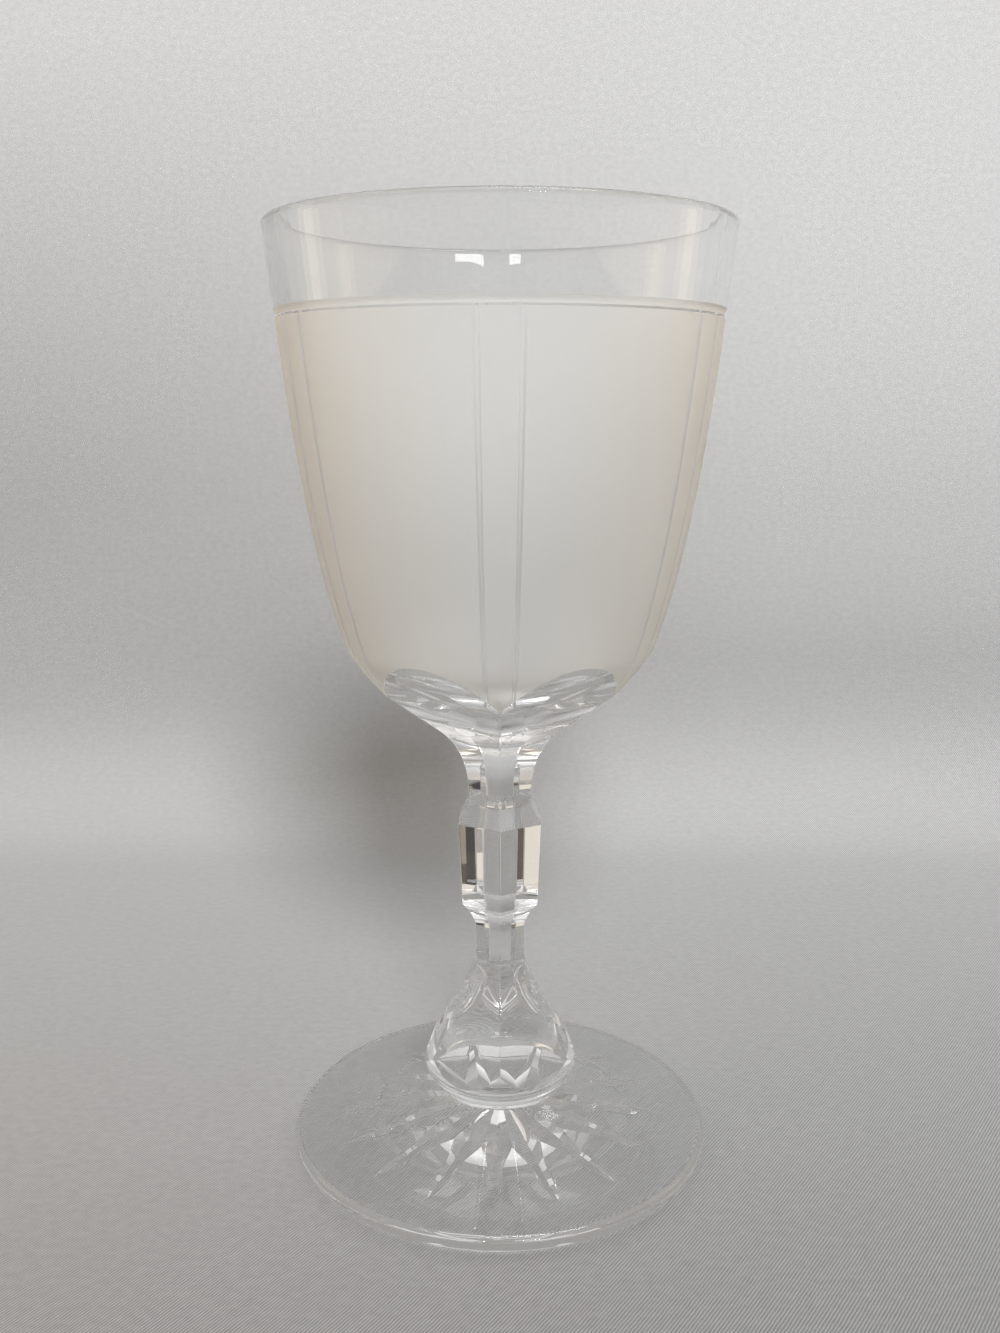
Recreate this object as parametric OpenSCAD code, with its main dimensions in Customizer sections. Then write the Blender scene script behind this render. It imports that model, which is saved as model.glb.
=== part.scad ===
// Cut-glass wine goblet, one solid of glass, standing on its foot.
// Millimetres, +Z up, origin at the centre of the foot's underside.
// One arris of the six-sided stem and one pair of bowl lines face -Y.

/* [Foot] */
// Radius of the foot
foot_r = 37.5; // [34:0.5:44]
// Thickness of the foot at its edge
foot_edge_h = 2.8; // [2.2:0.1:4]
// Rounding of the foot's lower edge
foot_edge_low_round = 0.7; // [0.4:0.1:0.9]
// Rounding of the foot's upper edge
foot_edge_top_round = 1.2; // [0.6:0.1:1.2]
// Radius at which the foot meets the bell
foot_hub_r = 10.8; // [9.6:0.1:11.4]
// Height of the foot where it meets the bell
foot_hub_h = 9.0; // [7.5:0.1:11]
// Radius of the shallow recess in the underside
recess_r = 22.8; // [19:0.1:26]
// Depth of the shallow recess
recess_depth = 0.4; // [0.3:0.1:0.9]

/* [Star under the foot] */
// Number of rays
star_rays = 16; // [12:1:20]
// Radius of the ray tips
star_r = 29; // [24:0.5:31]
// Depth of the rays where they meet
star_depth = 2.2; // [1.6:0.1:3.6]
// Radius at which neighbouring rays meet in a cleft
star_cleft_r = 16.0; // [10:0.1:18]
// Turn of the first ray away from the front arris
star_turn = -2.5; // [-11:0.5:11]

/* [Bell knop] */
// Radius of the turned edge where the bell is widest
bell_r = 13.8; // [13.6:0.1:14.4]
// Height from the foot to the widest edge
bell_under_h = 5.5; // [4:0.1:7]
// Width across the flats at the widest edge
bell_flats = 26.7; // [26:0.1:27.2]
// Height of the sloping flats from the widest edge to the crease
bell_over_h = 10.2; // [8.5:0.1:12]
// Width across the flats at the crease
crease_flats = 15.0; // [13.5:0.1:16.5]
// Height of the flare between the crease and the lower neck
flare_h = 9.3; // [7:0.1:12]
// Lean of the flare away from upright, just above the crease
flare_lean = 23; // [18:1:28]

/* [Lower neck and block] */
// Width across the flats of the lower neck
low_neck_flats = 8.6; // [7.5:0.1:10]
// Height of the lower neck
low_neck_h = 5.9; // [3:0.1:12]
// Height of the hollow sweep under the block
block_foot_h = 4.9; // [4:0.1:7]
// Width across the flats at the block's lower end
block_low_flats = 13.3; // [12.5:0.1:15]
// Height of the block between its ends
block_h = 15.1; // [10:0.1:20]
// Width across the flats at the block's upper end
block_top_flats = 14.5; // [13.5:0.1:16]
// Height of the slope on top of the block
block_head_h = 3.2; // [2:0.1:5]

/* [Upper neck and petals] */
// Width across the flats of the upper neck
neck_flats = 10.9; // [9.5:0.1:12.5]
// Height of the straight part of the upper neck
neck_h = 2.1; // [0.5:0.1:6]
// Height of the sweep from the neck to the petals
sweep_h = 11.8; // [10.5:0.1:14]
// Width across the flats at the root of the petals
petal_root_flats = 20.4; // [19:0.1:22]
// Lean of the petals away from upright, at their root
petal_root_lean = 49; // [46:1:52]
// Lean of the petals away from upright, at their tips
petal_tip_lean = 43; // [40:1:45]
// Height from the root of the petals to their tips
petal_h = 14.5; // [13.5:0.1:16]

/* [Bowl] */
// Outside radius of the bowl at the tips of the petals
bowl_petal_r = 26.4; // [25.5:0.1:27.5]
// Lean of the bowl away from upright at the tips of the petals
bowl_petal_lean = 20; // [17:1:22]
// Outside radius of the bowl just under the ring groove
bowl_top_r = 36.4; // [35.6:0.1:37]
// Lean of the bowl away from upright just under the ring groove
bowl_top_lean = 6.5; // [4:0.5:8]
// Height of the bowl's side from the petal tips to the ring groove
bowl_side_h = 53.3; // [45:0.1:65]
// Width of the ring groove around the bowl
groove_w = 1.5; // [1:0.1:2.5]
// Depth of the ring groove
groove_depth = 0.3; // [0.2:0.05:0.5]
// Height of the clear band above the ring groove
rim_band_h = 13.7; // [8:0.1:20]
// Outside radius at the rim
rim_r = 38.0; // [37.2:0.1:39.5]
// Wall thickness at the rim
rim_wall = 2.3; // [1.9:0.1:2.8]
// Rounding of both edges of the rim
lip_round = 0.9; // [0.5:0.1:0.9]
// Wall thickness at the petal tips
petal_wall = 3.0; // [2.4:0.1:3.6]
// Height of the bowl's inner floor above the root of the petals
floor_h = 5.8; // [5:0.1:7]

/* [Lines on the bowl] */
// Number of pairs of upright lines
line_pairs = 6; // [3:1:8]
// Angle from the middle of a pair to each of its lines
line_half_gap = 5.1; // [3:0.1:8]
// Angle that one line takes up
line_angle = 1.5; // [0.8:0.1:2.2]
// Depth of the lines
line_depth = 0.25; // [0.15:0.05:0.4]

/* [Hidden] */
glass = [0.86, 0.88, 0.87, 0.45];

// Six flats around the stem, cut as three pairs
sides = 6;

// Steps along one curved stretch of outline
curve_steps = 8;
side_steps = 14;

// How strongly each end pulls on the curve of the bowl's side, as a share of its height
low_pull = 0.27;
top_pull = 0.33;

// How far the bowl's inner floor stays flat, and how soon it turns up into the wall
floor_flatness = 0.55;
floor_corner = 0.45;

// How far the foot's upper face runs level at its edge and at the bell, and the rise there
foot_edge_run = 0.35;
foot_edge_rise = 0.04;
foot_hub_run = 0.30;
foot_hub_rise = 0.10;

// How far a cut runs past the surface that it opens
past = 1;

// Lean of the bell's rounded underside where it leaves the foot
bell_under_lean = 35;

// Lean of the hollow sweep under the block where it meets the block
block_foot_lean = 48;

// Heights, stacked from the foot up
bell_z = foot_hub_h + bell_under_h;
crease_z = bell_z + bell_over_h;
low_neck_z = crease_z + flare_h;
low_neck_top_z = low_neck_z + low_neck_h;
block_z = low_neck_top_z + block_foot_h;
block_top_z = block_z + block_h;
neck_z = block_top_z + block_head_h;
neck_top_z = neck_z + neck_h;
petal_root_z = neck_top_z + sweep_h;
petal_tip_z = petal_root_z + petal_h;
groove_z = petal_tip_z + bowl_side_h;
groove_top_z = groove_z + groove_w;
rim_z = groove_top_z + rim_band_h;

// Slope of the bell's flats, as width of one side per height
bell_slope = (bell_flats - crease_flats) / 2 / bell_over_h;

// The heel is where the blank's bowl curve ends, hidden inside the cut petals
heel_r = bowl_petal_r * 0.625;
heel_z = petal_root_z + 1.5;
heel_lean = 47;

// Outer radius of the bowl on top of the ring groove, on the straight line up to the rim
band_low_r = bowl_top_r + groove_w * tan(bowl_top_lean);

// Points of a cubic curve between two ends, each with its lean away from upright
// and the length of its handle in height
function curve(p0, lean0, reach0, p1, lean1, reach1, steps) =
    let (a = p0 + reach0 * [tan(lean0), 1],
         b = p1 - reach1 * [tan(lean1), 1])
    [for (i = [0:steps])
        let (t = i / steps, u = 1 - t)
        u * u * u * p0 + 3 * u * u * t * a + 3 * u * t * t * b + t * t * t * p1];

// Points of an arc about a centre, from one angle to another
function arc(centre, r, from, to, steps) =
    [for (i = [0:steps])
        let (a = from + (to - from) * i / steps)
        centre + r * [cos(a), sin(a)]];

// All points but the last, so that two stretches can share an end
function open(points) = [for (i = [0:len(points) - 2]) points[i]];

// Upper face of the foot, from its edge up to the bell
function foot_top() =
    let (edge = [foot_r - foot_edge_top_round, foot_edge_h],
         hub = [foot_hub_r, foot_hub_h],
         run = edge[0] - hub[0],
         a = edge + run * [-foot_edge_run, foot_edge_rise],
         b = hub + run * [foot_hub_run, -foot_hub_rise])
    [for (i = [0:curve_steps])
        let (t = i / curve_steps, u = 1 - t)
        u * u * u * edge + 3 * u * u * t * a + 3 * u * t * t * b + t * t * t * hub];

// Edge of the foot, from its flat underside up to its upper face
function foot_edge() =
    concat(
        arc([foot_r - foot_edge_low_round, foot_edge_low_round], foot_edge_low_round, -90, 0, 4),
        open(arc([foot_r - foot_edge_top_round, foot_edge_h - foot_edge_top_round],
            foot_edge_top_round, 0, 90, 5)));

// Rounded underside of the bell, from the foot out to the widest edge
function bell_under() =
    curve([foot_hub_r, foot_hub_h], bell_under_lean, bell_under_h * 0.4,
        [bell_r, bell_z], 0, bell_under_h * 0.5, curve_steps);

// Outer curve of the bowl from the heel to the petal tips
function bowl_heel() =
    curve([heel_r, heel_z], heel_lean, 3.8,
        [bowl_petal_r, petal_tip_z], bowl_petal_lean, 1.6, curve_steps);

// Curve of the bowl from the petal tips to the ring groove, as far inside the outer face
// as it is given for each end
function bowl_side(low_wall = 0, top_wall = 0) =
    curve([bowl_petal_r - low_wall, petal_tip_z], bowl_petal_lean, bowl_side_h * low_pull,
        [bowl_top_r - top_wall, groove_z], bowl_top_lean, bowl_side_h * top_pull, side_steps);

// Hollow polished ring groove
function ring_groove() =
    [for (i = [1:5])
        let (t = i / 6)
        [bowl_top_r + t * (band_low_r - bowl_top_r) - groove_depth * sin(180 * t),
            groove_z + groove_w * t]];

// Clear band up to the rounded outer edge of the rim
function rim_band() =
    concat([[band_low_r, groove_top_z]],
        arc([rim_r - lip_round, rim_z - lip_round], lip_round, 0, 90, 5));

// The blank before cutting: foot, collar, thick stem and bowl, turned as one
module blank() {
    rotate_extrude($fn = 144)
        polygon(concat(
            [[0, 0]],
            foot_edge(),
            open(foot_top()),
            bell_under(),
            [[bell_r, heel_z - past]],
            open(bowl_heel()),
            bowl_side(),
            ring_groove(),
            rim_band(),
            [[0, rim_z]]));
}

// Half outline of the six flats, from just under the bell's widest edge up past the petals
function flats_outline() =
    let (root = [petal_root_flats / 2, petal_root_z],
         tip = [bowl_petal_r, petal_tip_z],
         clear_r = rim_r + 4)
    concat(
        [[clear_r + foot_r, -past],
         [clear_r + foot_r, bell_z - past],
         [bell_flats / 2 + past * bell_slope, bell_z - past]],
        curve([crease_flats / 2, crease_z], -flare_lean, flare_h * 0.42,
            [low_neck_flats / 2, low_neck_z], 0, flare_h * 0.2, curve_steps),
        curve([low_neck_flats / 2, low_neck_top_z], 0, block_foot_h * 0.22,
            [block_low_flats / 2, block_z], block_foot_lean, block_foot_h * 0.26, curve_steps),
        [[block_top_flats / 2, block_top_z],
         [neck_flats / 2, neck_z]],
        open(curve([neck_flats / 2, neck_top_z], 0, sweep_h * 0.45,
            root, petal_root_lean, sweep_h * 0.22, curve_steps)),
        curve(root, petal_root_lean, petal_h / 3, tip, petal_tip_lean, petal_h / 3, curve_steps),
        [[clear_r, petal_tip_z + (clear_r - bowl_petal_r) / tan(petal_tip_lean)],
         [clear_r, rim_z + past]]);

// What one pair of opposite flats leaves: a slab with the outline on both sides
module flat_pair() {
    half = flats_outline();
    last = len(half) - 1;
    reach = rim_r + foot_r;
    rotate([90, 0, 0])
        linear_extrude(height = 2 * reach, center = true)
            polygon(concat(half, [for (i = [0:last]) [-half[last - i][0], half[last - i][1]]]));
}

// Six flats around the stem, bell, block and petals, with an arris at the front
module six_flats() {
    intersection() {
        flat_pair();
        rotate([0, 0, 360 / sides]) flat_pair();
        rotate([0, 0, 720 / sides]) flat_pair();
    }
}

// Rounded inner floor of the bowl, from the axis out to the wall at the petal tips
function bowl_floor() =
    let (middle = [0, petal_root_z + floor_h],
         wall = [bowl_petal_r - petal_wall, petal_tip_z],
         a = middle + [wall[0] * floor_flatness, 0],
         b = wall - (wall[1] - middle[1]) * floor_corner * [tan(bowl_petal_lean), 1])
    [for (i = [0:curve_steps])
        let (t = i / curve_steps, u = 1 - t)
        u * u * u * middle + 3 * u * u * t * a + 3 * u * t * t * b + t * t * t * wall];

// Inside of the bowl, opening upward through the rounded rim
module hollow() {
    rim_in = rim_r - rim_wall;
    rotate_extrude($fn = 144)
        polygon(concat(
            open(bowl_floor()),
            bowl_side(petal_wall, rim_wall),
            arc([rim_in + lip_round, rim_z - lip_round], lip_round, 180, 90, 5),
            [[rim_in + lip_round, rim_z + past],
             [0, rim_z + past]]));
}

// One upright line on the bowl, at the front
module bowl_line() {
    outer = concat(open(bowl_heel()), bowl_side());
    last = len(outer) - 1;
    rotate([0, 0, -90 - line_angle / 2])
        rotate_extrude(angle = line_angle, $fn = 144)
            polygon(concat(
                [for (p = outer) p - [line_depth, 0]],
                [for (i = [0:last]) outer[last - i] + [past, 0]]));
}

// All pairs of upright lines
module bowl_lines() {
    for (pair = [0:line_pairs - 1])
        for (side = [-1, 1])
            rotate([0, 0, pair * 360 / line_pairs + side * line_half_gap])
                bowl_line();
}

// Outline of the star at a given share of its full size: long rays with clefts between
function star_outline(share) =
    [for (i = [0:2 * star_rays - 1])
        let (a = star_turn - 90 + i * 180 / star_rays,
             r = (i % 2 == 0 ? star_r : star_cleft_r) * share)
        r * [cos(a), sin(a)]];

// The star cut into the underside: every ray is a vee that rises to one point at the centre
module star() {
    translate([0, 0, -past])
        linear_extrude(height = star_depth + past, scale = 0)
            polygon(star_outline((star_depth + past) / star_depth));
}

// Shallow recess with a sloped edge, so the foot rests on its outer ring
module recess() {
    translate([0, 0, -past])
        cylinder(h = past, r = recess_r, $fn = 144);
    translate([0, 0, -0.01])
        cylinder(h = recess_depth + 0.01, r1 = recess_r, r2 = recess_r - recess_depth, $fn = 144);
}

module goblet() {
    color(glass)
        difference() {
            intersection() {
                blank();
                six_flats();
            }
            hollow();
            bowl_lines();
            recess();
            star();
        }
}

goblet();
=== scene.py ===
"""Cut-glass wine goblet on a grey cloth sweep, in soft window light."""
import math

import bmesh
import bpy
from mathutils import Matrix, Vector


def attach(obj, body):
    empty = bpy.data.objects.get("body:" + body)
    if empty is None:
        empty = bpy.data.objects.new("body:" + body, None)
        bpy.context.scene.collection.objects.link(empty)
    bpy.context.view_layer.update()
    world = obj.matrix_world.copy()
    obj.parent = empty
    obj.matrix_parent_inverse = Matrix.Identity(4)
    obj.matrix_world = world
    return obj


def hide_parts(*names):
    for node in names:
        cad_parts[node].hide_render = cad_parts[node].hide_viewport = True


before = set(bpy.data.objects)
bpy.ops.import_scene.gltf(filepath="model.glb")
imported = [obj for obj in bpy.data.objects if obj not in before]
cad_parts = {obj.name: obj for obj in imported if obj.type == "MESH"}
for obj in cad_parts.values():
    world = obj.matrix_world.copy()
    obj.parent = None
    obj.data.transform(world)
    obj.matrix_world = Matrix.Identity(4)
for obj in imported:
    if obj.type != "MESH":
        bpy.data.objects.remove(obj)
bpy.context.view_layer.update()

MM = 0.001
WELD = 1e-6

MOST_REFLECTIONS = 4

# Bending power of the glass
IOR = 1.52

# Sizes of the goblet in millimetres and its angles in degrees. A pair is a place, as radius and
# height. A lean is an angle off upright, and a reach says how far a curve keeps to its leans at
# both ends, as shares of its height, or in millimetres for the heel.
FOOT_R = 37.5
FOOT_EDGE_H = 2.8
FOOT_LOW_ROUND = 0.7
FOOT_TOP_ROUND = 1.2
FOOT_HUB = (10.8, 9.0)
UNDER_R = 36.2
RECESS_R = 22.8
RECESS_DEPTH = 0.4
RECESS_RAMP = 1.6

STAR_RAYS = 16
STAR_R = 29.0
STAR_CLEFT_R = 16.0
STAR_DEPTH = 2.2
STAR_TURN = -2.5
STAR_CREASE = 8

BELL = (13.8, 14.5)
BELL_UNDER_LEAN = 35.0
BELL_UNDER_REACH = (0.4, 0.5)
BELL_HALF = 13.35
CREASE = (7.5, 24.7)
FLARE_LEAN = 23.0
FLARE_REACH = (0.42, 0.2)
LOW_NECK = (4.3, 34.0)
LOW_NECK_TOP = (4.3, 39.9)
BLOCK_LOW = (6.65, 44.8)
BLOCK_FOOT_LEAN = 48.0
COVE_REACH = (0.22, 0.26)
BLOCK_TOP = (7.25, 59.9)
NECK_LOW = (5.45, 63.1)
NECK_TOP = (5.45, 65.2)
PETAL_ROOT = (10.2, 77.0)
PETAL_ROOT_LEAN = 49.0
SWEEP_REACH = (0.45, 0.22)
PETAL_TIP_LEAN = 43.0

PETAL_TIP = (26.4, 91.5)
HEEL = (16.5, 78.5)
HEEL_LEAN = 47.0
HEEL_REACH = (3.8, 1.6)
BOWL_PETAL_LEAN = 20.0
BOWL_TOP = (36.4, 144.8)
BOWL_TOP_LEAN = 6.5
BOWL_REACH = (0.27, 0.33)
GROOVE_W = 1.5
GROOVE_DEPTH = 0.3
RIM = (38.0, 160.0)
RIM_WALL = 2.3
LIP_ROUND = 0.9
PETAL_WALL = 3.0
FLOOR_Z = 82.8

ARRIS_HALF_W = 0.1
EDGE_ROUND = 0.22

LINE_AT = 5.1
LINE_HALF = 0.75
LINE_DEPTH = 0.25

# Angles of the mesh columns away from an arris of the stem, up to the middle of a flat
COLUMNS = (0, 0.4, 1.4, 2.9, 4.35, 4.6, 4.85, 5.1, 5.35, 5.6, 5.85,
           7.4, 9.6, 12.4, 15.4, 18.6, 22, 26, 30)


def bezier(a, b, c, d, steps):
    """Points of a cubic curve, both ends included."""
    points = []
    for i in range(steps + 1):
        t = i / steps
        u = 1 - t
        shares = (u * u * u, 3 * u * u * t, 3 * u * t * t, t * t * t)
        points.append(tuple(
            sum(share * point[n] for share, point in zip(shares, (a, b, c, d))) for n in (0, 1)))
    return points


def leaning(start, start_lean, start_reach, end, end_lean, end_reach, steps):
    """A cubic curve between two points that starts and ends with a lean, each for a reach."""
    a = (start[0] + start_reach * math.tan(math.radians(start_lean)), start[1] + start_reach)
    b = (end[0] - end_reach * math.tan(math.radians(end_lean)), end[1] - end_reach)
    return bezier(start, a, b, end, steps)


def arc(r, z, radius, start, end, steps):
    """Points of an arc, both ends included, with its angles in degrees."""
    points = []
    for i in range(steps + 1):
        a = math.radians(start + (end - start) * i / steps)
        points.append((r + radius * math.cos(a), z + radius * math.sin(a)))
    return points


def line(start, end, steps):
    """Points of a straight stretch, both ends included."""
    return [
        (start[0] + (end[0] - start[0]) * i / steps, start[1] + (end[1] - start[1]) * i / steps)
        for i in range(steps + 1)
    ]


def eased(before, corner, after, size):
    """A rounded corner between two straight stretches, as the points that replace it."""
    ends = []
    for other in (before, after):
        reach = math.dist(corner, other)
        share = min(0.4, size / reach)
        ends.append(tuple(corner[n] + (other[n] - corner[n]) * share for n in (0, 1)))
    return bezier(ends[0], corner, corner, ends[1], 4)


def plain_share(value, start, end):
    """How far a value has come from a start to an end, from 0 to 1."""
    return min(1.0, max(0.0, (value - start) / (end - start)))


def eased_share(value, start, end):
    """How far a value has come from a start to an end, from 0 to 1, slow at both."""
    t = plain_share(value, start, end)
    return t * t * (3 - 2 * t)


def radius_at(outline, z):
    """Radius of an outline that only rises, at one height."""
    for (r0, z0), (r1, z1) in zip(outline, outline[1:]):
        if z <= z1:
            return r0 + (r1 - r0) * (z - z0) / (z1 - z0)
    return outline[-1][0]


def bowl_side(low_wall, top_wall, steps):
    """Curve of the bowl from petal tips to ring groove, inside its outer face by a wall."""
    height = BOWL_TOP[1] - PETAL_TIP[1]
    return leaning(
        (PETAL_TIP[0] - low_wall, PETAL_TIP[1]), BOWL_PETAL_LEAN, height * BOWL_REACH[0],
        (BOWL_TOP[0] - top_wall, BOWL_TOP[1]), BOWL_TOP_LEAN, height * BOWL_REACH[1], steps)


PETAL_H = PETAL_TIP[1] - PETAL_ROOT[1]
PETAL = leaning(PETAL_ROOT, PETAL_ROOT_LEAN, PETAL_H / 3,
                PETAL_TIP, PETAL_TIP_LEAN, PETAL_H / 3, 200)
BOWL = leaning(HEEL, HEEL_LEAN, HEEL_REACH[0],
               PETAL_TIP, BOWL_PETAL_LEAN, HEEL_REACH[1], 100)[:-1] + bowl_side(0, 0, 300)


def crossing(gap, low, high):
    """Where a rising function passes nought, by halving."""
    for _ in range(40):
        middle = (low + high) / 2
        low, high = (low, middle) if gap(middle) > 0 else (middle, high)
    return (low + high) / 2


def line_depth(off_arris):
    """Depth of an upright line of the bowl, hollow across its width."""
    x = (off_arris - LINE_AT) / LINE_HALF
    return LINE_DEPTH * max(0.0, 1 - x * x)


def stretches(off_arris):
    """The goblet's outline at one angle off an arris, as a list of stretches with their kinds.

    It starts under the foot's edge, goes up the outside and ends in the middle of the bowl.
    """
    to_flat = math.cos(math.radians(30 - off_arris))

    def flats(points):
        made = []
        for r, z in points:
            blunt = off_arris
            if off_arris < COLUMNS[2]:
                blunt = max(off_arris, math.degrees(ARRIS_HALF_W / r))
            at = 0.0 if off_arris == 0 else blunt
            made.append((r / math.cos(math.radians(30 - blunt)), z, at))
        return made

    edge_r = FOOT_R - FOOT_TOP_ROUND
    run = edge_r - FOOT_HUB[0]
    under_h = BELL[1] - FOOT_HUB[1]
    under = leaning(FOOT_HUB, BELL_UNDER_LEAN, under_h * BELL_UNDER_REACH[0],
                    BELL, 0, under_h * BELL_UNDER_REACH[1], 60)
    slope = (BELL_HALF - CREASE[0]) / (CREASE[1] - BELL[1])

    def bell_flat(z):
        return (BELL_HALF + (BELL[1] - z) * slope) / to_flat

    under_top = crossing(lambda z: radius_at(under, z) - bell_flat(z), FOOT_HUB[1], BELL[1])
    blunt_top = max(under_top, crossing(lambda z: BELL[0] - bell_flat(z), under_top, CREASE[1]))
    under = [(radius_at(under, z), z) for z in
             (FOOT_HUB[1] + (under_top - FOOT_HUB[1]) * i / 14 for i in range(15))]
    blunted = line(under[-1], (bell_flat(blunt_top), blunt_top), 3)
    flare_h = LOW_NECK[1] - CREASE[1]
    flare = leaning(CREASE, -FLARE_LEAN, flare_h * FLARE_REACH[0],
                    LOW_NECK, 0, flare_h * FLARE_REACH[1], 10)
    cove_h = BLOCK_LOW[1] - LOW_NECK_TOP[1]
    cove = leaning(LOW_NECK_TOP, 0, cove_h * COVE_REACH[0],
                   BLOCK_LOW, BLOCK_FOOT_LEAN, cove_h * COVE_REACH[1], 10)
    low = eased(cove[-2], BLOCK_LOW, BLOCK_TOP, 2 * EDGE_ROUND)
    top = eased(BLOCK_LOW, BLOCK_TOP, NECK_LOW, EDGE_ROUND)
    nook = eased(BLOCK_TOP, NECK_LOW, NECK_TOP, EDGE_ROUND)
    sweep_h = PETAL_ROOT[1] - NECK_TOP[1]
    sweep = leaning(NECK_TOP, 0, sweep_h * SWEEP_REACH[0],
                    PETAL_ROOT, PETAL_ROOT_LEAN, sweep_h * SWEEP_REACH[1], 12)
    petal_top = crossing(
        lambda z: radius_at(PETAL, z) / to_flat - radius_at(BOWL, z), HEEL[1], PETAL_TIP[1])
    petal = [(radius_at(PETAL, z), z) for z in
             (PETAL_ROOT[1] + (petal_top - PETAL_ROOT[1]) * i / 14 for i in range(15))]
    side = []
    for i in range(49):
        t = i / 48
        z = petal_top + (BOWL_TOP[1] - petal_top) * t ** 1.5
        side.append((radius_at(BOWL, z) - line_depth(off_arris), z))
    band_out = GROOVE_W * math.tan(math.radians(BOWL_TOP_LEAN))
    band_low = (BOWL_TOP[0] + band_out, BOWL_TOP[1] + GROOVE_W)
    groove = [
        (BOWL_TOP[0] + band_out * i / 8 - GROOVE_DEPTH * math.sin(math.pi * i / 8),
         BOWL_TOP[1] + GROOVE_W * i / 8)
        for i in range(9)
    ]
    lip_z = RIM[1] - LIP_ROUND
    rim_in = RIM[0] - RIM_WALL
    inside = bowl_side(PETAL_WALL, RIM_WALL, 40)[::-1]
    wall = inside[-1]
    floor = bezier(
        (0.0, FLOOR_Z), (wall[0] * 0.55, FLOOR_Z),
        (wall[0] - (wall[1] - FLOOR_Z) * 0.45 * math.tan(math.radians(BOWL_PETAL_LEAN)),
         wall[1] - (wall[1] - FLOOR_Z) * 0.45), wall, 16)[::-1]
    return [
        ("edge", arc(FOOT_R - FOOT_LOW_ROUND, FOOT_LOW_ROUND, FOOT_LOW_ROUND, -90, 0, 6)),
        ("edge", line((FOOT_R, FOOT_LOW_ROUND), (FOOT_R, FOOT_EDGE_H - FOOT_TOP_ROUND), 2)),
        ("edge", arc(edge_r, FOOT_EDGE_H - FOOT_TOP_ROUND, FOOT_TOP_ROUND, 0, 90, 8)),
        ("foot", bezier((edge_r, FOOT_EDGE_H), (edge_r - run * 0.35, FOOT_EDGE_H + run * 0.04),
                        (FOOT_HUB[0] + run * 0.30, FOOT_HUB[1] - run * 0.10), FOOT_HUB, 28)),
        ("under", under),
        ("ring", blunted),
        ("bell", line(blunted[-1], flats([CREASE])[0][:2], 6)),
        ("flare", flats(flare)),
        ("neck", flats(line(LOW_NECK, LOW_NECK_TOP, 2))),
        ("cove", flats(cove[:-1] + [low[0]])),
        ("ease", flats(low)),
        ("block", flats(line(low[-1], top[0], 4))),
        ("ease", flats(top)),
        ("slope", flats(line(top[-1], nook[0], 2))),
        ("ease", flats(nook)),
        ("sweep", flats(line(nook[-1], NECK_TOP, 1))),
        ("sweep", flats(sweep)),
        ("sweep", flats(petal)),
        ("side", side),
        ("groove", groove),
        ("rim", line(band_low, (RIM[0], lip_z), 5)),
        ("rim", arc(RIM[0] - LIP_ROUND, lip_z, LIP_ROUND, 0, 90, 7)),
        ("rim", line((RIM[0] - LIP_ROUND, RIM[1]), (rim_in + LIP_ROUND, RIM[1]), 1)),
        ("rim", arc(rim_in + LIP_ROUND, lip_z, LIP_ROUND, 90, 180, 7)),
        ("rim", line((rim_in, lip_z), inside[0], 6)),
        ("rim", inside),
        ("rim", floor),
    ]


# Kinds of stretch that meet in a sharp crease
CREASES = {("foot", "under"), ("under", "ring"), ("ring", "bell"), ("bell", "flare"),
           ("sweep", "side"), ("side", "groove"), ("groove", "rim")}


def never(*place):
    """Answer for a patch that has no such edge or face."""
    return False


def sector_mesh(name, columns, sharp_row=never, sharp_column=never, satin=never, buffed=never):
    """A patch between columns of points, with its sharp edges and its faces' finish marked."""
    rows = len(columns[0][1])
    mesh = bpy.data.meshes.new(name)
    verts = []
    for angle, points in columns:
        for r, z, *own in points:
            a = math.radians(math.copysign(own[0], angle) if own else angle)
            verts.append((r * math.sin(a) * MM, -r * math.cos(a) * MM, z * MM))
    faces = []
    finishes = {"satin": [], "buffed": []}
    for c in range(len(columns) - 1):
        for k in range(rows - 1):
            at = c * rows + k
            faces.append((at, at + rows, at + rows + 1, at + 1))
            finishes["satin"].append(satin(c, k))
            finishes["buffed"].append(buffed(c, k))
    mesh.from_pydata(verts, [], faces)
    for edge in mesh.edges:
        (c, k0), (_, k1) = (divmod(v, rows) for v in edge.vertices)
        edge.use_edge_sharp = sharp_row(k0) if k0 == k1 else sharp_column(c, min(k0, k1))
    mesh.polygons.foreach_set("use_smooth", [True] * len(faces))
    for finish, values in finishes.items():
        mesh.attributes.new(finish, "BOOLEAN", "FACE").data.foreach_set("value", values)
    return mesh


def goblet_sixth():
    """One sixth of the goblet, with an arris of the stem in its middle."""
    angles = [-a for a in COLUMNS[:0:-1]] + list(COLUMNS)
    columns = []
    kinds = []
    breaks = set()
    for angle in angles:
        points = []
        kinds = []
        for kind, stretch in stretches(abs(angle)):
            if points:
                if (kinds[-1], kind) in CREASES:
                    breaks.add(len(points) - 1)
                stretch = stretch[1:]
            points += stretch
            kinds += [kind] * len(stretch)
        columns.append((angle, points))

    def in_line(c):
        return abs(abs(angles[c] + angles[c + 1]) / 2 - LINE_AT) < LINE_HALF

    def line_edge(c):
        return abs(abs(abs(angles[c]) - LINE_AT) - LINE_HALF) < 0.01

    return sector_mesh(
        "sixth", columns,
        sharp_row=lambda k: k in breaks,
        sharp_column=lambda c, k: line_edge(c) and kinds[k + 1] == "side",
        satin=lambda c, k: (kinds[k + 1] == "side" and not in_line(c)) or (
            kinds[k + 1] == "groove" and kinds[k - 1] == "groove"),
        buffed=lambda c, k: kinds[k + 1] == "side" and in_line(c))


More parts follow.
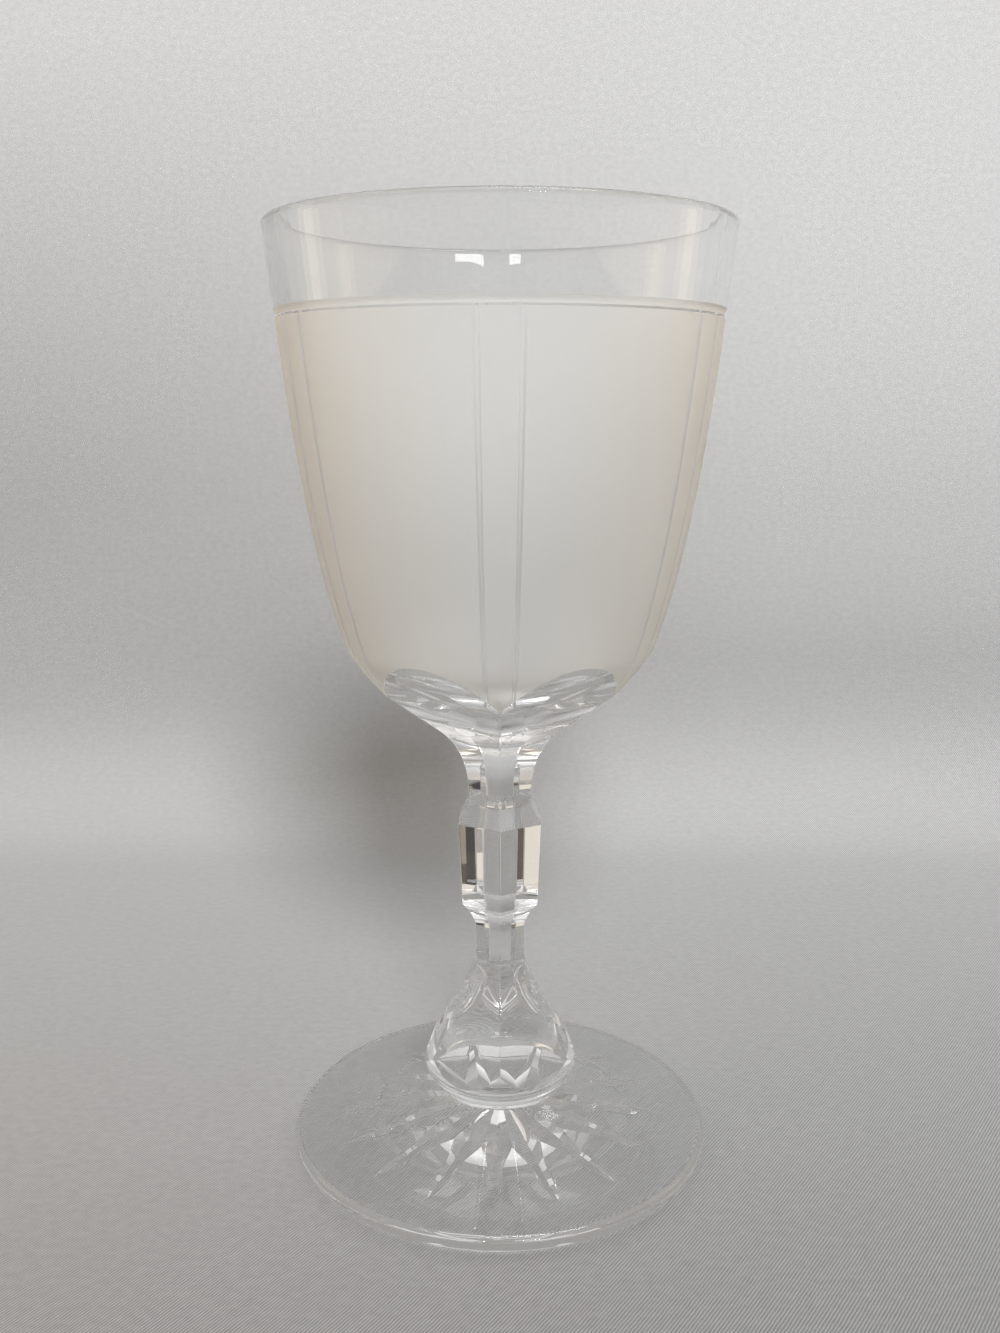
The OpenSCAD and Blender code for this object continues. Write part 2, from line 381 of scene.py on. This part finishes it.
def ray_sector():
    """One ray of the star with its share of the underside, from the resting ring inwards."""
    half = 180 / STAR_RAYS
    cleft_x = STAR_CLEFT_R * math.cos(math.radians(half))
    cleft_y = STAR_CLEFT_R * math.sin(math.radians(half))
    columns = []
    count = 6
    for i in range(-count, count + 1):
        angle = half * i / count
        b = math.radians(abs(angle))
        ray = STAR_R * cleft_y / (cleft_y * math.cos(b) + (STAR_R - cleft_x) * math.sin(b))

        def star(r):
            return STAR_DEPTH * (1 - r / ray)

        def recess(r):
            return RECESS_DEPTH * eased_share(RECESS_R - r, 0, RECESS_RAMP)

        end = crossing(lambda r: recess(r) - star(r), 0.0, ray)
        points = [(end * k / 6, star(end * k / 6)) for k in range(7)]
        inner = max(end, RECESS_R - RECESS_RAMP)
        outer = max(end, RECESS_R)
        for start, stop, steps in ((end, inner, 3), (inner, outer, 6)):
            reached = [start + (stop - start) * k / steps for k in range(1, steps + 1)]
            points += [(r, recess(r)) for r in reached]
        points += [(outer + (UNDER_R - outer) * k / 4, 0.0) for k in range(1, 5)]
        columns.append((angle, points[::-1]))
    return sector_mesh("ray", columns)


def repeat_round_tree():
    """Node tree that repeats a sector round the axis and joins the copies into one skin."""
    tree = bpy.data.node_groups.new("repeat round the axis", "GeometryNodeTree")
    face = tree.interface
    face.new_socket("Sector", in_out="INPUT", socket_type="NodeSocketGeometry")
    face.new_socket("Copies", in_out="INPUT", socket_type="NodeSocketInt")
    face.new_socket("First turn", in_out="INPUT", socket_type="NodeSocketFloat")
    face.new_socket("Weld distance", in_out="INPUT", socket_type="NodeSocketFloat")
    face.new_socket("Polished", in_out="INPUT", socket_type="NodeSocketMaterial")
    face.new_socket("Satin", in_out="INPUT", socket_type="NodeSocketMaterial")
    face.new_socket("Buffed", in_out="INPUT", socket_type="NodeSocketMaterial")
    face.new_socket("Skin", in_out="OUTPUT", socket_type="NodeSocketGeometry")
    nodes, links = tree.nodes, tree.links
    given = nodes.new("NodeGroupInput")
    made = nodes.new("NodeGroupOutput")
    points = nodes.new("GeometryNodePoints")
    links.new(given.outputs["Copies"], points.inputs["Count"])
    index = nodes.new("GeometryNodeInputIndex")
    step = nodes.new("ShaderNodeMath")
    step.operation = "DIVIDE"
    step.inputs[0].default_value = math.tau
    links.new(given.outputs["Copies"], step.inputs[1])
    turn = nodes.new("ShaderNodeMath")
    turn.operation = "MULTIPLY_ADD"
    links.new(index.outputs[0], turn.inputs[0])
    links.new(step.outputs[0], turn.inputs[1])
    links.new(given.outputs["First turn"], turn.inputs[2])
    about = nodes.new("ShaderNodeCombineXYZ")
    links.new(turn.outputs[0], about.inputs["Z"])
    place = nodes.new("GeometryNodeInstanceOnPoints")
    links.new(points.outputs[0], place.inputs["Points"])
    links.new(given.outputs["Sector"], place.inputs["Instance"])
    links.new(about.outputs[0], place.inputs["Rotation"])
    real = nodes.new("GeometryNodeRealizeInstances")
    links.new(place.outputs[0], real.inputs[0])
    weld = nodes.new("GeometryNodeMergeByDistance")
    links.new(real.outputs[0], weld.inputs["Geometry"])
    links.new(given.outputs["Weld distance"], weld.inputs["Distance"])
    clear = nodes.new("GeometryNodeSetMaterial")
    links.new(weld.outputs[0], clear.inputs["Geometry"])
    links.new(given.outputs["Polished"], clear.inputs["Material"])
    latest = clear
    # Faces that the sector marks get their finish over the polished one
    for finish in ("Satin", "Buffed"):
        marked = nodes.new("GeometryNodeInputNamedAttribute")
        marked.data_type = "BOOLEAN"
        marked.inputs["Name"].default_value = finish.lower()
        given_to = nodes.new("GeometryNodeSetMaterial")
        links.new(latest.outputs[0], given_to.inputs["Geometry"])
        links.new(marked.outputs["Attribute"], given_to.inputs["Selection"])
        links.new(given.outputs[finish], given_to.inputs["Material"])
        latest = given_to
    links.new(latest.outputs[0], made.inputs[0])
    return tree


def repeated(mesh, tree, **values):
    """The plain mesh that the node tree makes of one sector."""
    sector = bpy.data.objects.new(mesh.name, mesh)
    bpy.context.scene.collection.objects.link(sector)
    modifier = sector.modifiers.new("repeat", "NODES")
    modifier.node_group = tree
    for item in tree.interface.items_tree:
        if item.in_out == "INPUT" and item.name in values:
            modifier[item.identifier] = values[item.name]
    bpy.context.view_layer.update()
    shown = sector.evaluated_get(bpy.context.evaluated_depsgraph_get())
    result = bpy.data.meshes.new_from_object(shown)
    bpy.data.objects.remove(sector)
    return result


def plain_material(name, **values):
    """A material whose one shader has its values on its own sockets."""
    material = bpy.data.materials.new(name)
    material.use_nodes = True
    shader = material.node_tree.nodes["Principled BSDF"]
    for key, value in values.items():
        shader.inputs[key].default_value = value
    return material, shader


def mixed(nodes, links, share, first, second):
    """A mix of two colours, each a plain colour or another node's output."""
    blend = nodes.new("ShaderNodeMix")
    blend.data_type = "RGBA"
    links.new(share, blend.inputs[0])
    ends = [socket for socket in blend.inputs if socket.type == "RGBA"]
    for end, colour in zip(ends, (first, second)):
        if isinstance(colour, tuple):
            end.default_value = (*colour, 1)
        else:
            links.new(colour, end)
    return next(socket for socket in blend.outputs if socket.type == "RGBA")


def painted_edge_light(material, shader, middle, edge):
    """A glass colour that turns warmer and lighter where the wall is seen edge-on: a painted warm
    reflection of the room at the sides.
    """
    nodes, links = material.node_tree.nodes, material.node_tree.links
    lean = nodes.new("ShaderNodeLayerWeight")
    lean.inputs["Blend"].default_value = 0.5
    colour = mixed(nodes, links, lean.outputs["Facing"], middle, edge)
    links.new(colour, shader.inputs["Base Color"])


def glass_paths(material, shader, share, painted_glow):
    """A share of light goes straight on to what the glass shades, and where light has bounced
    inside too often, the glass glows with painted light of the given colour in its place.
    """
    nodes, links = material.node_tree.nodes, material.node_tree.links
    path = nodes.new("ShaderNodeLightPath")
    many = nodes.new("ShaderNodeMath")
    many.operation = "GREATER_THAN"
    many.inputs[1].default_value = MOST_REFLECTIONS - 0.5
    links.new(path.outputs["Glossy Depth"], many.inputs[0])
    # Painted light: the glass glows here in place of the light that many bounces inside it would
    # bring
    glow = nodes.new("ShaderNodeEmission")
    glow.inputs["Color"].default_value = (*painted_glow, 1)
    inner = nodes.new("ShaderNodeMixShader")
    links.new(many.outputs[0], inner.inputs["Fac"])
    links.new(shader.outputs[0], inner.inputs[1])
    links.new(glow.outputs[0], inner.inputs[2])
    part = nodes.new("ShaderNodeMath")
    part.operation = "MULTIPLY"
    part.inputs[1].default_value = share
    links.new(path.outputs["Is Shadow Ray"], part.inputs[0])
    through = nodes.new("ShaderNodeBsdfTransparent")
    outer = nodes.new("ShaderNodeMixShader")
    links.new(part.outputs[0], outer.inputs["Fac"])
    links.new(inner.outputs[0], outer.inputs[1])
    links.new(through.outputs[0], outer.inputs[2])
    links.new(outer.outputs[0], nodes["Material Output"].inputs["Surface"])


# The last colour given to glass_paths is the painted light each glass glows with after many
# bounces inside
polished, polished_shader = plain_material("polished glass", **{
    "Base Color": (0.99, 0.993, 0.99, 1), "Roughness": 0.0, "IOR": IOR,
    "Transmission Weight": 1.0})
glass_paths(polished, polished_shader, 0.8, (0.34, 0.33, 0.315))

satin, satin_shader = plain_material("satin ground glass", **{
    "Roughness": 0.5, "IOR": IOR, "Transmission Weight": 0.65})
glass_paths(satin, satin_shader, 0.0, (0.4, 0.39, 0.37))
# Painted warm light at the bowl's sides, put into the satin's colour
painted_edge_light(satin, satin_shader, (0.76, 0.762, 0.75), (1.0, 0.92, 0.80))

buffed, buffed_shader = plain_material("buffed glass", **{
    "Base Color": (0.90, 0.895, 0.885, 1), "Roughness": 0.35, "IOR": IOR,
    "Transmission Weight": 0.8})
glass_paths(buffed, buffed_shader, 0.5, (0.4, 0.39, 0.37))

tree = repeat_round_tree()
shared = {"Weld distance": WELD, "Polished": polished, "Satin": satin, "Buffed": buffed}
body = repeated(goblet_sixth(), tree, **{"Copies": 6, "First turn": 0.0}, **shared)
under = repeated(
    ray_sector(), tree,
    **{"Copies": STAR_RAYS, "First turn": math.radians(STAR_TURN)}, **shared)


def stitch(bm, inner, outer):
    """Closes the flat gap between two rings of points with triangles, in step round the axis."""
    rings = [sorted(ring, key=lambda v: math.atan2(v.co.y, v.co.x)) for ring in (inner, outer)]
    counts = [len(ring) for ring in rings]
    at = [0, 0]
    while at[0] < counts[0] or at[1] < counts[1]:
        a, b = rings[0][at[0] % counts[0]], rings[1][at[1] % counts[1]]
        inner_behind = (at[0] + 0.5) * counts[1] <= (at[1] + 0.5) * counts[0]
        ahead = 0 if at[1] >= counts[1] or (at[0] < counts[0] and inner_behind) else 1
        c = rings[ahead][(at[ahead] + 1) % counts[ahead]]
        bm.faces.new((a, c, b)).smooth = True
        at[ahead] += 1


def joined(body, under):
    """Body and underside as one closed skin, bridged along the resting ring."""
    bm = bmesh.new()
    bm.from_mesh(under)
    bm.normal_update()
    for edge in bm.edges:
        if len(edge.link_faces) == 2 and edge.calc_face_angle(0) > math.radians(STAR_CREASE):
            edge.smooth = False
    bm.from_mesh(body)

    bmesh.ops.remove_doubles(bm, verts=bm.verts, dist=WELD / 10)
    # Slot 0 of both meshes is empty, so their finishes count from 1
    for face in bm.faces:
        if face.material_index:
            face.material_index -= 1
    between = (UNDER_R + FOOT_R - FOOT_LOW_ROUND) / 2 * MM
    rings = {v for e in bm.edges if e.is_boundary for v in e.verts}
    stitch(bm, [v for v in rings if v.co.xy.length < between],
           [v for v in rings if v.co.xy.length > between])
    bmesh.ops.recalc_face_normals(bm, faces=bm.faces)
    mesh = bpy.data.meshes.new("goblet_glass")
    bm.to_mesh(mesh)
    bm.free()
    return mesh


skin = joined(body, under)
for material in (polished, satin, buffed):
    skin.materials.append(material)
goblet = bpy.data.objects.new("goblet_glass", skin)
bpy.context.scene.collection.objects.link(goblet)
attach(goblet, "root")
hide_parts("goblet")

# Cloth, in metres and degrees: the twill, the length of a wave at scale 1, and the sweep
TWILL_PITCH = 0.5 * MM
TWILL_SLANT = 35
TWILL_WEIGHT = 2.2
TWILL_CONTRAST = 0.37
WAVE_LENGTH = 0.314
BEND_Y = 0.135
BEND_R = 0.10
CLOTH_REST = -0.2 * MM
CLOTH_FRONT = -1.2
CLOTH_TOP = 1.1
CLOTH_HALF_W = 1.2


def rightward(x):
    """How far to the right of the picture a place on the cloth is, from 0 to 1."""
    return plain_share(x, -0.17, 0.10)


def painted_cloth_light(x, y, z):
    """The cloth's grey with painted light and shade: painted light brightest up the wall, painted
    shade in its bend and in front.
    """
    right = rightward(x)
    left = 1 - right
    # Painted light and shade: the floor lighter towards the back, then painted shade in its bend
    # and painted light in the rise up the wall
    back = min(0.095, max(-0.2, y - 0.06))
    grey_with_painted_light = left * (0.44 + 0.85 * back) + right * (0.42 + 1.2 * back)
    # Painted shade in the bend of the sweep
    grey_with_painted_light -= 0.10 * eased_share(z, 0.0, 0.035)
    grey_with_painted_light += left * 0.26 * plain_share(z, 0.07, 0.25) ** 1.4
    grey_with_painted_light += right * 0.28 * (1 - (1 - plain_share(z, 0.045, 0.25)) ** 2.2)
    grey_with_painted_light += 0.2 * eased_share(z, 0.25, 0.40)
    # Painted shade: everything above the bend darker than the floor
    return grey_with_painted_light * (0.965 - 0.15 * eased_share(z, 0.0, 0.05))


def thread_share(z):
    """How clearly the twill's lines show: fully on the floor, little high up the wall."""
    return 1 - 0.7 * eased_share(z, 0, 0.2)


def cloth_coolness(x, y):
    """How blue the grey is at one place: cooler to the right, warm in the left front corner."""
    right = rightward(x)
    return 0.03 + 0.015 * right - 0.09 * (1 - right) * eased_share(-y, -0.1, 0.05)


def cloth_material():
    """Grey twill: the grey with its painted light and shade comes from the mesh, the threads from
    a slanting wave and a fine noise.

    The mesh also says how much of the wave shows at each place, as the alpha of that painted grey.
    """
    material, shader = plain_material("grey twill cloth", **{"Roughness": 0.85})
    nodes, links = material.node_tree.nodes, material.node_tree.links
    grey_with_painted_light = nodes.new("ShaderNodeAttribute")
    grey_with_painted_light.attribute_name = "grey_with_painted_light"
    place = nodes.new("ShaderNodeAttribute")
    place.attribute_name = "laid_out"
    turn = nodes.new("ShaderNodeMapping")
    turn.inputs["Rotation"].default_value = (0, 0, math.radians(TWILL_SLANT))
    links.new(place.outputs["Vector"], turn.inputs["Vector"])
    twill = nodes.new("ShaderNodeTexWave")
    twill.wave_type = "BANDS"
    twill.bands_direction = "X"
    twill.inputs["Scale"].default_value = WAVE_LENGTH / TWILL_PITCH
    twill.inputs["Distortion"].default_value = 1.5
    twill.inputs["Detail"].default_value = 2.0
    links.new(turn.outputs[0], twill.inputs["Vector"])
    mottle = nodes.new("ShaderNodeTexNoise")
    mottle.inputs["Scale"].default_value = 700.0
    mottle.inputs["Detail"].default_value = 2.0
    stretch = nodes.new("ShaderNodeMapping")
    stretch.inputs["Scale"].default_value = (0.7, 1, 1)
    links.new(place.outputs["Vector"], stretch.inputs["Vector"])
    links.new(stretch.outputs[0], mottle.inputs["Vector"])
    centred = nodes.new("ShaderNodeMath")
    centred.operation = "SUBTRACT"
    links.new(twill.outputs["Fac"], centred.inputs[0])
    centred.inputs[1].default_value = 0.5
    weight = nodes.new("ShaderNodeMath")
    weight.operation = "MULTIPLY"
    links.new(grey_with_painted_light.outputs["Alpha"], weight.inputs[0])
    weight.inputs[1].default_value = TWILL_WEIGHT
    threads = nodes.new("ShaderNodeMath")
    threads.operation = "MULTIPLY_ADD"
    links.new(centred.outputs[0], threads.inputs[0])
    links.new(weight.outputs[0], threads.inputs[1])
    links.new(mottle.outputs["Fac"], threads.inputs[2])
    depth = nodes.new("ShaderNodeMapRange")
    depth.inputs["From Min"].default_value = -TWILL_WEIGHT / 2
    depth.inputs["From Max"].default_value = TWILL_WEIGHT / 2 + 1
    depth.inputs["To Min"].default_value = 1 - TWILL_CONTRAST
    depth.inputs["To Max"].default_value = 1 + TWILL_CONTRAST
    links.new(threads.outputs[0], depth.inputs["Value"])
    shade = nodes.new("ShaderNodeVectorMath")
    shade.operation = "SCALE"
    links.new(grey_with_painted_light.outputs["Color"], shade.inputs[0])
    links.new(depth.outputs[0], shade.inputs["Scale"])
    links.new(shade.outputs[0], shader.inputs["Base Color"])
    bump = nodes.new("ShaderNodeBump")
    bump.inputs["Strength"].default_value = 0.3
    bump.inputs["Distance"].default_value = 0.1 * MM
    links.new(threads.outputs[0], bump.inputs["Height"])
    links.new(bump.outputs[0], shader.inputs["Normal"])
    return material


def cloth_sweep():
    """Floor and backdrop in one length of cloth, curved up behind the goblet."""
    near = (-0.4, CLOTH_REST)
    outline = line((CLOTH_FRONT, CLOTH_REST), near, 2) + line(near, (BEND_Y, CLOTH_REST), 24)[1:]
    outline += arc(BEND_Y, CLOTH_REST + BEND_R, BEND_R, -90, 0, 24)[1:]
    outline += line(outline[-1], (BEND_Y + BEND_R, 0.4), 20)[1:] + [(BEND_Y + BEND_R, CLOTH_TOP)]
    across = [(-CLOTH_HALF_W, 0), (-0.75, 0)] + line((-0.3, 0), (0.3, 0), 30)
    across += [(0.75, 0), (CLOTH_HALF_W, 0)]
    verts = [(x, y, z) for x, _ in across for y, z in outline]
    n = len(outline)
    faces = [(c * n + i, (c + 1) * n + i, (c + 1) * n + i + 1, c * n + i + 1)
             for c in range(len(across) - 1) for i in range(n - 1)]
    mesh = bpy.data.meshes.new("cloth_sweep")
    mesh.from_pydata(verts, [], faces)
    mesh.polygons.foreach_set("use_smooth", [True] * len(faces))
    # The cloth's grey with painted light and shade at each point, and the twill's share as alpha
    grey_with_painted_light = mesh.attributes.new("grey_with_painted_light", "FLOAT_COLOR", "POINT")
    for item, (x, y, z) in zip(grey_with_painted_light.data, verts):
        grey = painted_cloth_light(x, y, z)
        cool = cloth_coolness(x, y)
        item.color = (grey * (1 - cool / 2), grey, grey * (1 + cool / 2), thread_share(z))
    lengths = [0.0]
    for a, b in zip(outline, outline[1:]):
        lengths.append(lengths[-1] + math.dist(a, b))
    laid_out = mesh.attributes.new("laid_out", "FLOAT_VECTOR", "POINT")
    for i, item in enumerate(laid_out.data):
        item.vector = (verts[i][0], lengths[i % n], 0)
    mesh.materials.append(cloth_material())
    cloth = bpy.data.objects.new("cloth_sweep", mesh)
    bpy.context.scene.collection.objects.link(cloth)


def card(name, bearing, away, left, right, low, high, colour):
    """A standing card that is seen only in the glass, with its sides in millimetres.

    Its bearing is in degrees clockwise from the back wall, as seen from above.
    """
    b = math.radians(bearing)
    out = Vector((math.sin(b), math.cos(b), 0)) * away * MM
    side = Vector((math.cos(b), -math.sin(b), 0))
    verts = [out + side * s * MM + Vector((0, 0, z * MM)) for s, z in
             ((left, low), (right, low), (right, high), (left, high))]
    mesh = bpy.data.meshes.new(name)
    mesh.from_pydata(verts, [], [(0, 1, 2, 3)])
    material, _ = plain_material(name, **{
        "Base Color": (0, 0, 0, 1), "Roughness": 1.0, "Specular IOR Level": 0.0,
        "Emission Color": (*colour, 1), "Emission Strength": 1.0})
    mesh.materials.append(material)
    board = bpy.data.objects.new(name, mesh)
    bpy.context.scene.collection.objects.link(board)
    board.visible_camera = False
    board.visible_diffuse = False
    board.visible_shadow = False


cloth_sweep()

# What the block of the stem shows at its sides: a warm light card and a dark one in four parts
SIDE = 122
NEAR = 170
SEAM = -6.7
card("cream_card", -SIDE, NEAR, -50, 50, 2, 34, (0.80, 0.74, 0.65))
card("dark_card", SIDE, NEAR, -45, SEAM, 8, 60, (0.05, 0.045, 0.045))
card("brown_card_low", SIDE, NEAR, SEAM, 40, 1, 12, (0.09, 0.075, 0.06))
card("tan_card", SIDE, NEAR, SEAM, 40, 12, 26, (0.30, 0.25, 0.20))
card("brown_card_high", SIDE, NEAR, SEAM, 40, 26, 60, (0.12, 0.095, 0.075))

# Pale walls of the room, which brighten the bowl's edges
card("white_card_left", -78, 900, -130, 130, 60, 900, (1.5, 1.3, 1.08))
card("white_card_right", 78, 900, -130, 130, 60, 900, (1.5, 1.3, 1.08))


def area_light(name, at, aim, size, power, mirrored=True, lighting=True, colour=(1, 1, 1)):
    """A soft rectangular light; mirrored is for what glass shows, lighting for all the rest."""
    data = bpy.data.lights.new(name, "AREA")
    data.shape = "RECTANGLE"
    data.size, data.size_y = size
    data.energy = power
    data.color = colour
    lamp = bpy.data.objects.new(name, data)
    lamp.location = at
    lamp.rotation_mode = "QUATERNION"
    lamp.rotation_quaternion = (Vector(aim) - Vector(at)).to_track_quat("-Z", "Y")
    lamp.visible_glossy = mirrored
    lamp.visible_transmission = mirrored
    lamp.visible_diffuse = lighting
    bpy.context.scene.collection.objects.link(lamp)


BOWL_MIDDLE = (0, 0, 0.12)
BOWL_LOW = (0, 0, 0.11)
WARM = (1, 0.84, 0.66)
area_light("ceiling", (0.25, -0.1, 1.3), (0.25, -0.1, 0), (0.7, 0.15), 3, lighting=False)
area_light("window_right", (0.52, -1.6, 0.74), BOWL_MIDDLE, (0.5, 0.018), 3)
area_light("window_left", (-0.27, -1.66, 0.74), BOWL_MIDDLE, (0.22, 0.018), 1.5)
area_light("soft_key", (0.21, -1.33, 1.02), BOWL_MIDDLE, (0.42, 0.4), 27.3, mirrored=False)
for name, x, power in (("warm_left", -1.0, 3.6), ("warm_right", 1.0, 2.2)):
    area_light(name, (x, -0.2, 0.35), BOWL_LOW, (0.5, 0.5), power, mirrored=False, colour=WARM)


def room():
    """Surroundings that are brighter overhead than level, and that show more than they light."""
    world = bpy.data.worlds.new("room")
    bpy.context.scene.world = world
    world.use_nodes = True
    nodes, links = world.node_tree.nodes, world.node_tree.links
    place = nodes.new("ShaderNodeTexCoord")
    parts = nodes.new("ShaderNodeSeparateXYZ")
    links.new(place.outputs["Generated"], parts.inputs[0])
    aside = nodes.new("ShaderNodeMath")
    aside.operation = "MULTIPLY"
    links.new(parts.outputs["X"], aside.inputs[0])
    links.new(parts.outputs["X"], aside.inputs[1])
    level = mixed(nodes, links, aside.outputs[0], (0.40, 0.39, 0.38), (0.85, 0.73, 0.61))
    rise = nodes.new("ShaderNodeMapRange")
    rise.interpolation_type = "SMOOTHSTEP"
    rise.inputs["From Min"].default_value = -0.1
    rise.inputs["From Max"].default_value = 0.8
    links.new(parts.outputs["Z"], rise.inputs["Value"])
    seen = mixed(nodes, links, rise.outputs[0], level, (0.90, 0.90, 0.90))
    links.new(seen, nodes["Background"].inputs["Color"])
    path = nodes.new("ShaderNodeLightPath")
    strength = nodes.new("ShaderNodeMapRange")
    strength.inputs["To Min"].default_value = 1.0
    strength.inputs["To Max"].default_value = 0.045
    links.new(path.outputs["Diffuse Depth"], strength.inputs["Value"])
    links.new(strength.outputs[0], nodes["Background"].inputs["Strength"])


room()

# Camera: its focal length is a share of the picture's height, and it looks down a little
SENSOR = 36
FOCAL_SHARE = 1267 / 1333
CAMERA_AT = (0.0, -0.2143, 0.1323)
CAMERA_DOWN = 11.91
camera_data = bpy.data.cameras.new("camera")
camera_data.sensor_width = SENSOR
camera_data.lens = SENSOR * FOCAL_SHARE
camera_data.clip_start = 0.01
camera = bpy.data.objects.new("camera", camera_data)
camera.location = CAMERA_AT
camera.rotation_euler = (math.radians(90 - CAMERA_DOWN), 0, 0)
bpy.context.scene.collection.objects.link(camera)
bpy.context.scene.camera = camera
bpy.context.scene.view_settings.view_transform = "Standard"
